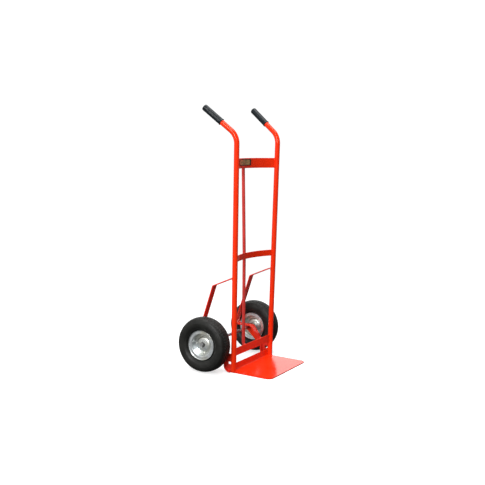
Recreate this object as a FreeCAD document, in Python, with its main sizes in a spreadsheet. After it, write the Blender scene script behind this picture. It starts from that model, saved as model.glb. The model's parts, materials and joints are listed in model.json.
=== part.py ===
import FreeCAD, Part
import math
import os
import Sketcher

# Two-wheeled hand truck: a welded tube frame with a toe plate, and two
# pneumatic wheels on bearings that turn on one fixed axle.
# Frame of the part: origin on the floor midway between the rail feet,
# X across the truck, Y towards the handles and wheels, Z up. Millimetres.

Vec = FreeCAD.Vector
doc = FreeCAD.newDocument("hand_truck")

# ---------------------------------------------------------------- dimensions
DIMENSIONS = [
    # frame rails and handles
    ("rail_diameter", 25, "outer diameter of the rail tube"),
    ("rail_wall", 2, "wall of the rail tube"),
    ("rail_foot_offset", 176.4, "half spacing of the rails at their feet"),
    ("rail_taper", 0.97, "outward lean of each rail, degrees"),
    ("rail_corner_length", 1095, "foot to the corner where the handle starts"),
    ("rail_bend_radius", 75, "centreline radius of the handle bend"),
    ("handle_angle", 52.2, "turn from the rail to the handle, degrees"),
    ("handle_splay", 9.1, "outward turn of the handle, degrees"),
    ("handle_length", 202, "corner to the open end of the tube"),
    ("grip_start", 94, "corner to the mouth of the grip"),
    ("grip_length", 111, "length of the grip with its closed end"),
    ("grip_diameter", 30.5, "outer diameter of the grip"),
    ("grip_gap", 0.05, "radial play between tube and grip"),
    ("grip_floor_gap", 0.5, "play between the tube's end and the grip's floor"),
    ("grip_flange_rise", 1, "how far the grip's mouth stands out"),
    ("grip_flange_length", 4, "length of the raised mouth"),
    ("grip_flange_slope", 2, "length of the slope behind the mouth"),
    ("grip_end_rounding", 5, "rounding of the grip's closed end"),
    ("grip_ribs", 16, "lengthwise ribs round the grip"),
    ("grip_channel_depth", 0.9, "depth of the channels between the ribs"),
    ("grip_channel_width", 1.6, "width of the channels between the ribs"),
    ("grip_channel_margin", 12, "plain length at each end of the channels"),
    # crossbars and the bar behind them
    ("plate_thickness", 3, "thickness of the crossbars"),
    ("weld_gap", 0.1, "play between two pieces that are welded together"),
    ("cope_half_length", 60, "half length of the cut that fits a crossbar to a rail"),
    ("upper_bar_height", 970, "middle of the upper crossbar above the floor"),
    ("upper_bar_width", 48, "height of the upper crossbar's face"),
    ("upper_bar_bow", 67.5, "how far the upper crossbar bows backwards"),
    ("middle_bar_height", 527, "middle of the middle crossbar above the floor"),
    ("middle_bar_width", 30, "height of the middle crossbar's face"),
    ("middle_bar_bow", 50, "how far the middle crossbar bows backwards"),
    ("lower_bar_height", 95.5, "middle of the lower crossbar above the floor"),
    ("lower_bar_width", 36, "height of the lower crossbar's face"),
    ("lower_bar_thickness", 4, "thickness of the lower crossbar"),
    ("centre_bar_diameter", 16, "outer diameter of the centre bar"),
    ("centre_bar_wall", 2, "wall of the centre bar"),
    ("centre_bar_foot_height", 86, "middle of the centre bar's foot above the floor"),
    ("centre_bar_foot_reach", 53, "how far back the centre bar's foot turns up"),
    ("centre_bar_bend_radius", 14, "radius of the turn at the foot"),
    ("centre_bar_middle_gap", 0.6, "centre bar to the back of the middle crossbar"),
    ("centre_bar_upper_gap", 1, "centre bar to the back of the upper crossbar"),
    ("centre_bar_kink_radius", 300, "radius of the slight turn at the middle bar"),
    ("centre_bar_top", 988, "top end of the centre bar above the floor"),
    # nameplate on the upper crossbar
    ("nameplate_width", 112, "width of the nameplate"),
    ("nameplate_height", 30, "height of the nameplate"),
    ("nameplate_thickness", 1.2, "thickness of the nameplate"),
    ("nameplate_shift", -9, "middle of the nameplate across the bar"),
    ("nameplate_raise", 4, "middle of the nameplate above the bar's middle"),
    # toe plate
    ("toe_half_width", 181.5, "half width of the toe plate"),
    ("toe_reach", 200, "toe plate in front of the rails' middle"),
    ("toe_back", 13, "toe plate behind the rails' middle"),
    ("toe_thickness", 5, "thickness of the toe plate"),
    ("toe_sole", 1, "depth of the plate's underside layer"),
    ("toe_load_back", 13, "back of the load area, in front of the rails' middle"),
    ("toe_corner_radius", 28, "radius of the front corners"),
    ("toe_flange_height", 36, "top of the upturned back edge"),
    ("toe_flange_radius", 9, "centreline radius of the upturned edge"),
    ("toe_flange_half_width", 161, "half width of the upturned edge"),
    ("toe_flange_run", 27, "flat length of the upturned edge's strip"),
    ("foot_gap", 0.3, "play between the toe plate and the rail foot"),
    # guard straps and axle brackets
    ("strap_offset", 173.5, "middle of each guard strap from the centre"),
    ("strap_width", 36, "width of the guard strap"),
    ("strap_thickness", 5, "thickness of the guard strap"),
    ("strap_foot_start", 13.2, "front end of the strap on the floor"),
    ("strap_heel_reach", 44, "back of the rounded heel"),
    ("strap_heel_radius", 30, "centreline radius of the heel"),
    ("strap_heel_top", 62, "height where the slant starts above the heel"),
    ("strap_slant_radius", 22, "radius where the slant starts"),
    ("strap_slant_reach", 103, "reach of the slant's upper end"),
    ("strap_level_radius", 20, "radius where the slant meets the level run"),
    ("strap_over_axle", 144, "middle of the strap where it crosses the axle"),
    ("strap_back_reach", 189, "rearmost reach of the strap"),
    ("strap_back_lean", 2, "forward lean of the strap's back"),
    ("strap_back_top", 168, "height of the strap's upper back bend"),
    ("strap_back_low_radius", 11, "radius of the lower back bend"),
    ("strap_back_high_radius", 14, "radius of the upper back bend"),
    ("strap_crest_reach", 116, "reach of the strap's upper bend"),
    ("strap_crest_height", 401, "height of the strap's upper bend"),
    ("strap_crest_radius", 9, "radius of the strap's upper bend"),
    ("strap_top_height", 447, "height where the strap meets the rail"),
    ("strap_rail_gap", 1.4, "rail to the middle of the strap's upper end"),
    ("gusset_offset", 177.5, "middle of each gusset from the centre"),
    ("gusset_thickness", 5, "thickness of the gusset"),
    ("gusset_notch_low", 38, "lower edge of the notch beside the rail"),
    ("gusset_notch_high", 50, "upper edge of the notch beside the rail"),
    ("gusset_notch_depth", 15, "depth of the notch, back from the rail"),
    ("gusset_curve_step", 30, "turn between the corners that follow the heel, degrees"),
    ("gusset_high", 88, "upper edge of the gusset"),
    ("bracket_offset", 186, "inner face of the axle bracket from the centre"),
    ("bracket_thickness", 5, "thickness of the axle bracket"),
    ("bracket_start", 0.12, "share of the slant below the axle bracket"),
    ("bracket_chin_reach", 90, "reach of the bracket's lower corner"),
    ("bracket_chin_height", 68, "height of the bracket's lower corner"),
    ("bracket_behind_axle", 24, "bracket's upper back corner behind the axle"),
    ("bracket_back_slope", 8, "forward lean of the bracket's back edge"),
    ("bracket_below_axle", 14, "bracket's lower back corner below the axle"),
    ("bracket_corner_cut", 10.5, "cut at the corner under the strap's bend"),
    # axle
    ("axle_reach", 126.8, "axle behind the rails' middle"),
    ("axle_height", 130, "axle above the floor"),
    ("axle_radius", 8, "radius of the axle"),
    ("axle_half_length", 262, "half length of the axle"),
    ("axle_chamfer", 1.2, "chamfer on the axle's ends"),
    ("running_gap", 0.05, "radial play of the bearings on the axle"),
    ("side_gap", 0.4, "play beside the hub along the axle"),
    ("spacer_radius", 11, "outer radius of the inboard spacer"),
    ("washer_radius", 12, "outer radius of the outboard washer"),
    ("washer_thickness", 2, "thickness of the outboard washer"),
    ("cotter_offset", 254.5, "cotter pin from the centre"),
    ("cotter_radius", 1.5, "radius of the cotter pin's wire"),
    ("cotter_hole_radius", 1.8, "radius of the cross hole in the axle"),
    ("cotter_length", 30, "length of the cotter pin's shank"),
    ("cotter_eye_radius", 4.5, "radius of the cotter pin's eye"),
    ("cotter_lift", 1, "cotter pin's eye above the axle"),
    # wheels
    ("wheel_offset", 237, "middle plane of each wheel from the centre"),
    ("tyre_radius", 130, "outer radius of the tyre"),
    ("tyre_half_width", 42, "half width of the tyre"),
    ("tyre_wall", 7.5, "thickness of the tyre's side wall"),
    ("tyre_crown_wall", 10, "thickness of the tyre under the tread"),
    ("tyre_wide_radius", 99, "radius where the tyre is widest"),
    ("tyre_shoulder_drop", 9, "from the crown down to the tread's shoulder"),
    ("tyre_shoulder_inset", 7, "tread's shoulder inside the widest section"),
    ("tyre_shoulder_wall", 9, "rubber under the tread's shoulder"),
    ("tyre_low_inset", 5, "lower side wall inside the widest section"),
    ("tyre_low_drop", 2, "lower side wall's bend below its middle"),
    ("tyre_high_inset", 1.5, "upper side wall inside the widest section"),
    ("tyre_high_rise", 11, "upper side wall's bend above the widest radius"),
    ("tyre_cavity_rise", 7, "the same bend on the inner face"),
    ("tyre_cavity_step", 1, "inner face's bends off the outer face's"),
    ("tyre_bead_width", 9, "width of each bead"),
    ("tyre_bead_heel", 2.5, "chamfer on the bead's heel"),
    ("tread_groove_depth", 4, "depth of the tread grooves"),
    ("tread_groove_width", 4, "width of the tread grooves"),
    ("tread_inner_groove", 8, "inner pair of grooves from the middle plane"),
    ("tread_outer_groove", 22, "outer pair of grooves from the middle plane"),
    ("tube_major_radius", 90.5, "middle circle of the inner tube"),
    ("tube_minor_radius", 24.5, "section radius of the inner tube"),
    ("tube_wall", 2, "wall of the inner tube"),
    ("rim_fit_gap", 0.2, "play between the rim and what fits on it"),
    ("rim_lip_gap", 0.7, "tyre's side wall over the rim flange"),
    ("rim_thickness", 2, "sheet thickness of the rim pressings"),
    ("rim_lip_radius", 69.5, "outer radius of the rim flange"),
    ("rim_lip_curl", 3, "outward curl of the rim flange"),
    ("rim_seat_radius", 51.8, "middle of the sheet at the bead seat"),
    ("rim_half_gap", 0.05, "rim pressing to the wheel's middle plane"),
    ("rim_web_radius", 37.5, "inner edge of the flat web"),
    ("rim_shoulder_radius", 30.5, "radius of the dome's shoulder"),
    ("rim_shoulder_drop", 3, "dome's shoulder below its top"),
    ("rim_inboard_drop", 1.5, "how much lower the inboard dome is"),
    ("rim_flange_reach", 26, "flange from the wheel's middle plane"),
    ("rim_dome_reach", 11, "top of the hub dome from the middle plane"),
    ("rim_dome_hole", 10.5, "radius of the hole in the outboard dome"),
    ("rim_curl_bend", 2, "bend radius at the flange's curl"),
    ("rim_seat_bend", 3.5, "bend radius between flange and bead seat"),
    ("rim_corner_bend", 3, "bend radius between bead seat and web"),
    ("rim_web_bend", 4, "bend radius between web and dome"),
    ("rim_dome_bend", 12, "bend radius of the dome's shoulder"),
    ("rim_bolt_circle", 43.5, "radius of the rim bolt circle"),
    ("rim_bolt_radius", 2.5, "radius of the rim bolts"),
    ("rim_bolt_count", 4, "bolts joining the rim pressings"),
    ("hex_across_flats", 8, "size of the bolt heads and nuts"),
    ("bolt_head_height", 4, "height of the bolt heads"),
    ("nut_height", 5, "height of the nuts"),
    ("bolt_tail", 2.5, "bolt thread standing past the nut"),
    ("hub_radius", 20, "outer radius of the hub tube"),
    ("hub_bore_radius", 15, "bore of the hub between the bearings"),
    ("hub_outboard", 8.2, "outboard end of the hub from the middle plane"),
    ("hub_inboard", 38, "inboard end of the hub from the middle plane"),
    ("bearing_radius", 17.5, "outer radius of the ball bearings"),
    ("bearing_width", 11, "width of the ball bearings"),
    ("bearing_pitch_radius", 12.8, "circle of the balls"),
    ("ball_radius", 2.5, "radius of the balls"),
    ("ball_count", 8, "balls in each bearing"),
    ("race_land", 1.3, "from the ball circle to a race's shoulder"),
    ("valve_angle", 285, "place of the valve round the wheel, degrees"),
    ("valve_root_rise", 17, "root of the valve above the bead seat"),
    ("valve_root_offset", 3, "root of the valve from the wheel's middle plane"),
    ("valve_lean", 15, "outward lean of the valve, degrees"),
    ("valve_radius", 4.5, "radius of the valve stem"),
    ("valve_length", 22, "length of the valve stem"),
    ("valve_cap_radius", 5, "radius of the valve cap"),
    ("valve_cap_length", 6, "length of the valve cap"),
]

sheet = doc.addObject("Spreadsheet::Sheet", "Dimensions")
for row, (alias, value, note) in enumerate(DIMENSIONS, start=1):
    sheet.set(f"A{row}", note)
    sheet.set(f"B{row}", str(value))
    sheet.setAlias(f"B{row}", alias)
doc.recompute()


def size(alias):
    """The plain number in one cell of the sheet."""
    return float(sheet.get(alias))


def bound(text):
    """An expression on the sheet: every word that is an alias is looked up there."""
    words = {alias for alias, _, _ in DIMENSIONS}
    out = ""
    word = ""
    for letter in text + " ":
        if letter.isalnum() or letter == "_":
            word += letter
            continue
        out += f"Dimensions.{word}" if word in words else word
        out += letter
        word = ""
    return out.strip()


def bind(thing, prop, text):
    thing.setExpression(prop, bound(text))


# ------------------------------------------------------------ sketch helpers
SUBPARTS = []


def new_body(label):
    """A PartDesign body that becomes one node."""
    body = doc.addObject("PartDesign::Body", label)
    body.Label = label
    body.AllowCompound = True
    SUBPARTS.append(body)
    return body


def origin_feature(body, role):
    return next(f for f in body.Origin.OriginFeatures if f.Role == role)


def new_sketch(body, name, role):
    sketch = body.newObject("Sketcher::SketchObject", f"{body.Name}_{name}")
    sketch.AttachmentSupport = [(origin_feature(body, role), "")]
    sketch.MapMode = "FlatFace"
    return sketch


def add_circle(sketch, radius, centre=("0", "0")):
    """A circle whose radius and centre are expressions on the sheet."""
    index = sketch.addGeometry(Part.Circle(Vec(1, 1, 0), Vec(0, 0, 1), 1))
    constraint = sketch.addConstraint(Sketcher.Constraint("Radius", index, 1))
    bind(sketch, f"Constraints[{constraint}]", radius)
    if centre == ("0", "0"):
        sketch.addConstraint(Sketcher.Constraint("Coincident", index, 3, -1, 1))
        return index
    for kind, text in zip(("DistanceX", "DistanceY"), centre):
        constraint = sketch.addConstraint(Sketcher.Constraint(kind, -1, 1, index, 3, 1.0))
        bind(sketch, f"Constraints[{constraint}]", text)
    return index


def add_rectangle(sketch, low, high):
    """A rectangle between two corners given as pairs of expressions."""
    corners = [Vec(0, 0, 0), Vec(9, 0, 0), Vec(9, 9, 0), Vec(0, 9, 0)]
    sides = [
        sketch.addGeometry(Part.LineSegment(corners[i], corners[(i + 1) % 4]))
        for i in range(4)
    ]
    for i in range(4):
        sketch.addConstraint(Sketcher.Constraint("Coincident", sides[i], 2, sides[(i + 1) % 4], 1))
        kind = ("Horizontal", "Vertical")[i % 2]
        sketch.addConstraint(Sketcher.Constraint(kind, sides[i]))
    for side, pair in ((sides[0], low), (sides[2], high)):
        for kind, text in zip(("DistanceX", "DistanceY"), pair):
            constraint = sketch.addConstraint(Sketcher.Constraint(kind, -1, 1, side, 1, 1.0))
            bind(sketch, f"Constraints[{constraint}]", text)


def add_outline(sketch, pieces):
    """Lines and arcs end to end: a piece is two points, or three for an arc."""
    for piece in pieces:
        points = [Vec(x, y, 0) for x, y in piece]
        curve = Part.Arc(*points) if len(points) == 3 else Part.LineSegment(*points)
        sketch.addGeometry(curve)


def rounded_path(points, radii, shift=0.0):
    """Runs and tangent arcs through corner points, moved sideways by shift.

    radii are the arcs of the unshifted path, one for each inner corner.
    """
    pieces = []
    start = None
    last = len(points) - 1
    for i in range(last):
        (x0, y0), (x1, y1) = points[i], points[i + 1]
        run = math.hypot(x1 - x0, y1 - y0)
        ux, uy = (x1 - x0) / run, (y1 - y0) / run
        if start is None:
            start = (x0 - uy * shift, y0 + ux * shift)
        if i + 1 == last:
            pieces.append([start, (x1 - uy * shift, y1 + ux * shift)])
            break
        x2, y2 = points[i + 2]
        following = math.hypot(x2 - x1, y2 - y1)
        vx, vy = (x2 - x1) / following, (y2 - y1) / following
        turn = math.atan2(ux * vy - uy * vx, ux * vx + uy * vy)
        radius = radii[i]
        tangent = radius * math.tan(abs(turn) / 2)
        side = math.copysign(1, turn)
        cx = x1 - ux * tangent - uy * side * radius
        cy = y1 - uy * tangent + ux * side * radius
        shifted = radius - side * shift
        begin = math.atan2(-side * ux, side * uy)
        arc = [
            (cx + shifted * math.cos(begin + turn * part),
             cy + shifted * math.sin(begin + turn * part))
            for part in (0.0, 0.5, 1.0)
        ]
        pieces.append([start, arc[0]])
        pieces.append(arc)
        start = arc[2]
    return pieces


def add_strip(sketch, points, radii, thickness):
    """The closed outline of a bent strip with its middle line on the path."""
    left = rounded_path(points, radii, thickness / 2)
    right = rounded_path(points, radii, -thickness / 2)
    add_outline(sketch, left + right)
    add_outline(sketch, [[left[0][0], right[0][0]], [left[-1][-1], right[-1][-1]]])


# ----------------------------------------------------------- feature helpers
def pad(body, sketch, length, symmetric=False, reverse=False):
    feature = body.newObject("PartDesign::Pad", f"{sketch.Name}_pad")
    feature.Profile = sketch
    bind(feature, "Length", length)
    feature.SideType = "Symmetric" if symmetric else "One side"
    feature.Reversed = reverse
    return feature


def pocket_through(body, sketch):
    """A pocket right through the body, both ways from its sketch."""
    feature = body.newObject("PartDesign::Pocket", f"{sketch.Name}_cut")
    feature.Profile = sketch
    feature.SideType = "Symmetric"
    feature.Type = "ThroughAll"
    return feature


def revolve(body, sketch, cut=False):
    """A full turn about the sketch's horizontal axis."""
    kind = "PartDesign::Groove" if cut else "PartDesign::Revolution"
    feature = body.newObject(kind, f"{sketch.Name}_turn")
    feature.Profile = sketch
    feature.ReferenceAxis = (sketch, ["H_Axis"])
    feature.Angle = 360
    return feature


def sweep(body, profile, spine):
    feature = body.newObject("PartDesign::AdditivePipe", f"{profile.Name}_sweep")
    feature.Profile = profile
    feature.Spine = spine
    return feature


def around(body, features, axis_role, count):
    """The features repeated round one of the body's own axes."""
    pattern = body.newObject("PartDesign::PolarPattern", f"{body.Name}_ring")
    pattern.Originals = features
    pattern.Axis = (origin_feature(body, axis_role), [""])
    pattern.Angle = 360
    bind(pattern, "Occurrences", count)
    body.Tip = pattern
    return pattern


def drill(body, name, radius, length, place):
    """A cylinder cut out along a placement given as an expression."""
    doc.recompute()
    before = body.Shape.Volume
    feature = body.newObject("PartDesign::SubtractiveCylinder", f"{body.Name}_{name}")
    bind(feature, "Radius", radius)
    bind(feature, "Height", length)
    bind(feature, "Placement", place)
    require_cut(body, before, name)


def place_body(body, text):
    bind(body, "Placement", text)


def shifted(x, y, z):
    """A placement without a turn, from three expressions."""
    return f"placement(vector({x}; {y}; {z}); rotation(vector(0; 0; 1); 0))"


def require_cut(body, before, what):
    """Stops the build when a feature has taken nothing off the body."""
    doc.recompute()
    if body.Shape.Volume >= before:
        raise RuntimeError(f"{body.Label}: no {what}")


SIDES = (("left", -1), ("right", 1))


# -------------------------------------------------------------------- rails
def rail_placement(side):
    lean = f"rotation(vector(0; 1; 0); {side} * rail_taper)"
    splay = f"rotation(vector(0; 0; 1); {-side} * handle_splay)"
    foot = f"vector({side} * rail_foot_offset; 0; toe_thickness + foot_gap)"
    return f"placement({foot}; {lean} * {splay})"


def rail_offset_at(height):
    """How far a rail's middle line is from the centre at a height."""
    rise = f"({height} - toe_thickness - foot_gap)"
    return f"(rail_foot_offset + tan(rail_taper) * {rise})"


def make_rail(label, side):
    """Round tube: up from the toe plate, then back and out as the handle."""
    body = new_body(label)
    ring = new_sketch(body, "section", "XY_Plane")
    add_circle(ring, "rail_diameter / 2")
    add_circle(ring, "rail_diameter / 2 - rail_wall")
    corner = size("rail_corner_length")
    angle = math.radians(size("handle_angle"))
    reach = size("handle_length")
    end = (reach * math.sin(angle), corner + reach * math.cos(angle))
    spine = new_sketch(body, "path", "YZ_Plane")
    add_outline(spine, rounded_path([(0, 0), (0, corner), end], [size("rail_bend_radius")]))
    sweep(body, ring, spine)
    place_body(body, rail_placement(side))


def make_grip(label, side):
    """Moulded sleeve with a flange at its mouth, a closed end and ribs."""
    body = new_body(label)
    section = new_sketch(body, "section", "XZ_Plane")
    outer = size("grip_diameter") / 2
    bore = size("rail_diameter") / 2 + size("grip_gap")
    length = size("grip_length")
    floor = size("handle_length") - size("grip_start") + size("grip_floor_gap")
    flange = outer + size("grip_flange_rise")
    flange_end = size("grip_flange_length")
    slope_end = flange_end + size("grip_flange_slope")
    rounding = size("grip_end_rounding")
    inset = rounding * (1 - math.sqrt(0.5))
    add_outline(section, [
        [(bore, 0), (flange, 0)],
        [(flange, 0), (flange, flange_end)],
        [(flange, flange_end), (outer, slope_end)],
        [(outer, slope_end), (outer, length - rounding)],
        [(outer, length - rounding), (outer - inset, length - inset), (outer - rounding, length)],
        [(outer - rounding, length), (0, length)],
        [(0, length), (0, floor)],
        [(0, floor), (bore, floor)],
        [(bore, floor), (bore, 0)],
    ])
    sleeve = body.newObject("PartDesign::Revolution", f"{label}_turn")
    sleeve.Profile = section
    sleeve.ReferenceAxis = (section, ["V_Axis"])
    sleeve.Angle = 360
    doc.recompute()
    before = body.Shape.Volume
    channel = body.newObject("PartDesign::SubtractiveBox", f"{label}_channel")
    bind(channel, "Length", "2 * grip_channel_depth")
    bind(channel, "Width", "grip_channel_width")
    bind(channel, "Height", "grip_length - 2 * grip_channel_margin")
    bind(channel, "Placement", shifted(
        "grip_diameter / 2 - grip_channel_depth", "-grip_channel_width / 2", "grip_channel_margin"))
    around(body, [channel], "Z_Axis", "grip_ribs")
    require_cut(body, before, "channels")
    handle = ("placement(vector(0; grip_start * sin(handle_angle); "
              "rail_corner_length + grip_start * cos(handle_angle)); "
              "rotation(vector(1; 0; 0); -handle_angle))")
    place_body(body, f"{rail_placement(side)} * {handle}")


# ---------------------------------------------------------------- crossbars
def cope_ends(body, height):
    """Hollows in both ends of a crossbar that fit the leaning rails."""
    for name, side in SIDES:
        foot = f"vector({side} * {rail_offset_at(height + ' - cope_half_length')}; 0; -cope_half_length)"
        lean = f"rotation(vector(0; 1; 0); {side} * rail_taper)"
        drill(body, f"{name}_cope", "rail_diameter / 2 + weld_gap", "2 * cope_half_length",
              f"placement({foot}; {lean})")


def make_bowed_bar(label, height, width, bow):
    """Flat bar bent to one arc, bowed towards the back of the truck."""
    body = new_body(label)
    half = size("rail_foot_offset") + math.tan(math.radians(size("rail_taper"))) * size(height)
    sagitta = size(bow)
    radius = (half * half + sagitta * sagitta) / (2 * sagitta)
    angle = math.asin(half / radius)
    plan = new_sketch(body, "plan", "XY_Plane")
    arcs = []
    for r in (radius + size("plate_thickness") / 2, radius - size("plate_thickness") / 2):
        arcs.append([
            (r * math.sin(a), sagitta - radius + r * math.cos(a))
            for a in (-angle, 0, angle)
        ])
    outer, inner = arcs
    add_outline(plan, [outer, inner, [outer[0], inner[0]], [outer[2], inner[2]]])
    pad(body, plan, width, symmetric=True)
    cope_ends(body, height)
    place_body(body, shifted("0", "0", height))
    return radius


def make_lower_bar():
    """Straight flat bar between the rails just above the toe plate."""
    body = new_body("lower_crossbar")
    face = new_sketch(body, "plan", "XY_Plane")
    half = rail_offset_at("lower_bar_height")
    add_rectangle(face, (f"-{half}", "-lower_bar_thickness / 2"), (half, "lower_bar_thickness / 2"))
    pad(body, face, "lower_bar_width", symmetric=True)
    cope_ends(body, "lower_bar_height")
    place_body(body, shifted("0", "0", "lower_bar_height"))


def make_centre_bar():
    """Round tube up the middle, behind the crossbars, turned in at its foot."""
    body = new_body("centre_bar")
    ring = new_sketch(body, "section", "XZ_Plane")
    add_circle(ring, "centre_bar_diameter / 2")
    add_circle(ring, "centre_bar_diameter / 2 - centre_bar_wall")
    start = size("lower_bar_thickness") / 2 + size("weld_gap")
    behind = size("plate_thickness") / 2 + size("centre_bar_diameter") / 2
    middle_reach = size("middle_bar_bow") + behind + size("centre_bar_middle_gap")
    upper_reach = size("upper_bar_bow") + behind + size("centre_bar_upper_gap")
    foot = size("centre_bar_foot_height")
    kink = (middle_reach - start, size("middle_bar_height") - foot)
    crest = (upper_reach - start, size("upper_bar_height") - foot)
    top = size("centre_bar_top") - foot
    lean = (crest[0] - kink[0]) / (crest[1] - kink[1])
    end = (kink[0] + lean * (top - kink[1]), top)
    turn_up = (size("centre_bar_foot_reach") - start, 0)
    spine = new_sketch(body, "path", "YZ_Plane")
    radii = [size("centre_bar_bend_radius"), size("centre_bar_kink_radius")]
    add_outline(spine, rounded_path([(0, 0), turn_up, kink, end], radii))
    sweep(body, ring, spine)
    place_body(body, shifted("0", start, "centre_bar_foot_height"))


def make_nameplate(bar_radius):
    """Thin curved plate on the front of the upper crossbar."""
    body = new_body("nameplate")
    back = bar_radius - size("plate_thickness") / 2 - size("weld_gap")
    centre = size("upper_bar_bow") - bar_radius
    thickness = size("nameplate_thickness")
    plan = new_sketch(body, "plan", "XY_Plane")
    arcs = []
    middle = size("nameplate_shift") / back
    half = size("nameplate_width") / 2 / back
    for r in (back, back - thickness):
        arcs.append([
            (r * math.sin(a), centre + r * math.cos(a))
            for a in (middle - half, middle, middle + half)
        ])
    outer, inner = arcs
    add_outline(plan, [outer, inner, [outer[0], inner[0]], [outer[2], inner[2]]])
    pad(body, plan, "nameplate_height", symmetric=True)
    place_body(body, shifted("0", "0", "upper_bar_height + nameplate_raise"))


# ---------------------------------------------------------------- toe plate
def toe_outline(back):
    """The plate's outline with rounded front corners, open at the back."""
    half = size("toe_half_width")
    front = -size("toe_reach")
    corner = size("toe_corner_radius")
    return rounded_path([(half, back), (half, front), (-half, front), (-half, back)], [corner, corner])


def make_toe_plate():
    """Flat plate with rounded front corners and an upturned back edge.

    The top is two faces: the load area, and the strip that the rails stand on.
    """
    body = new_body("toe_plate")
    half = size("toe_half_width")
    back = size("toe_back")
    load_back = -size("toe_load_back")
    sole = new_sketch(body, "sole", "XY_Plane")
    add_outline(sole, toe_outline(back) + [[(-half, back), (half, back)]])
    pad(body, sole, "toe_sole")
    load = new_sketch(body, "load", "XY_Plane")
    add_outline(load, toe_outline(load_back) + [[(-half, load_back), (half, load_back)]])
    pad(body, load, "toe_thickness").Refine = False
    strip = new_sketch(body, "strip", "XY_Plane")
    add_rectangle(strip, ("-toe_half_width", "-toe_load_back"), ("toe_half_width", "toe_back"))
    pad(body, strip, "toe_thickness").Refine = False
    edge = new_sketch(body, "edge", "YZ_Plane")
    thickness = size("toe_thickness")
    middle = thickness / 2
    back_middle = back - middle
    path = [
        (back_middle - size("toe_flange_run"), middle),
        (back_middle, middle),
        (back_middle, size("toe_flange_height")),
    ]
    add_strip(edge, path, [size("toe_flange_radius")], thickness)
    pad(body, edge, "2 * toe_flange_half_width", symmetric=True).Refine = False
    place_body(body, shifted("0", "0", "0"))


# ------------------------------------------------ guard straps and brackets
def strap_path():
    """Corner points (back, up) of the strap's middle line, foot first."""
    foot_height = size("strap_thickness") / 2
    heel = size("strap_heel_reach")
    over = size("strap_over_axle")
    back = size("strap_back_reach")
    return [
        (size("strap_foot_start"), foot_height),
        (heel, foot_height),
        (heel, size("strap_heel_top")),
        (size("strap_slant_reach"), over),
        (back - size("strap_back_lean"), over),
        (back, size("strap_back_top")),
        (size("strap_crest_reach"), size("strap_crest_height")),
        (size("rail_diameter") / 2 + size("strap_rail_gap"), size("strap_top_height")),
    ]


def strap_radii():
    names = ("heel", "slant", "level", "back_low", "back_high", "crest")
    return [size(f"strap_{name}_radius") for name in names]


def make_strap(label, side):
    """Flat bar from the rail over the wheel's inner side down to the foot."""
    body = new_body(label)
    profile = new_sketch(body, "profile", "YZ_Plane")
    add_strip(profile, strap_path(), strap_radii(), size("strap_thickness"))
    pad(body, profile, "strap_width", symmetric=True)
    place_body(body, shifted(f"{side} * strap_offset", "0", "0"))


def direction(start, end):
    """The unit vector from one point to another."""
    run = math.hypot(end[0] - start[0], end[1] - start[1])
    return (end[0] - start[0]) / run, (end[1] - start[1]) / run


def add_polygon(sketch, corners):
    count = len(corners)
    add_outline(sketch, [[corners[i], corners[(i + 1) % count]] for i in range(count)])


def make_bracket(label, side):
    """Vertical plate under the strap that carries the axle."""
    body = new_body(label)
    profile = new_sketch(body, "profile", "YZ_Plane")
    under = size("strap_thickness") / 2 + size("weld_gap")
    ceiling = size("strap_over_axle") - under
    start, end = strap_path()[2:4]
    ux, uy = direction(start, end)
    along = size("bracket_start") * math.hypot(end[0] - start[0], end[1] - start[1])
    low = (start[0] + uy * under + along * ux, start[1] - ux * under + along * uy)
    rise = (ceiling - low[1]) / uy
    high = (low[0] + ux * rise, ceiling)
    back = size("axle_reach") + size("bracket_behind_axle")
    cut = size("bracket_corner_cut")
    add_polygon(profile, [
        low,
        (size("bracket_chin_reach"), size("bracket_chin_height")),
        (back - size("bracket_back_slope"), size("axle_height") - size("bracket_below_axle")),
        (back, ceiling),
        (high[0] + cut, ceiling),
        (high[0] - cut * ux, high[1] - cut * uy),
    ])
    pad(body, profile, "bracket_thickness", reverse=side < 0)
    hole = new_sketch(body, "axle_hole", "YZ_Plane")
    add_circle(hole, "axle_radius + running_gap", ("axle_reach", "axle_height"))
    pocket_through(body, hole)
    place_body(body, shifted(f"{side} * bracket_offset", "0", "0"))


def make_gusset(label, side):
    """Upright plate that ties the foot of the strap to the back of the rail."""
    body = new_body(label)
    profile = new_sketch(body, "profile", "YZ_Plane")
    ahead = size("strap_thickness") / 2 + size("weld_gap")
    bend, slant_end = strap_path()[2:4]
    ux, uy = direction(bend, slant_end)
    front = size("rail_diameter") / 2 + size("weld_gap")
    notch_end = front + size("gusset_notch_depth")
    high = size("gusset_high")
    heel_face = bend[0] - ahead
    corner = bend[1] + ahead * ux / (1 + uy)
    radius = size("strap_heel_radius")
    middle = (bend[0] - radius, size("strap_thickness") / 2 + radius)
    curve = []
    for turns in (2, 1, 0):
        angle = math.radians(turns * size("gusset_curve_step"))
        curve.append((middle[0] + (radius - ahead) * math.cos(angle),
                      middle[1] - (radius - ahead) * math.sin(angle)))
    add_polygon(profile, [
        (front, high),
        (front, size("gusset_notch_high")),
        (notch_end, size("gusset_notch_high")),
        (notch_end, size("gusset_notch_low")),
        (front, size("gusset_notch_low")),
        (front, curve[0][1]),
        *curve,
        (heel_face, corner),
        (heel_face + (high - corner) * ux / uy, high),
    ])
    pad(body, profile, "gusset_thickness", symmetric=True)
    place_body(body, shifted(f"{side} * gusset_offset", "0", "0"))


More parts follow.
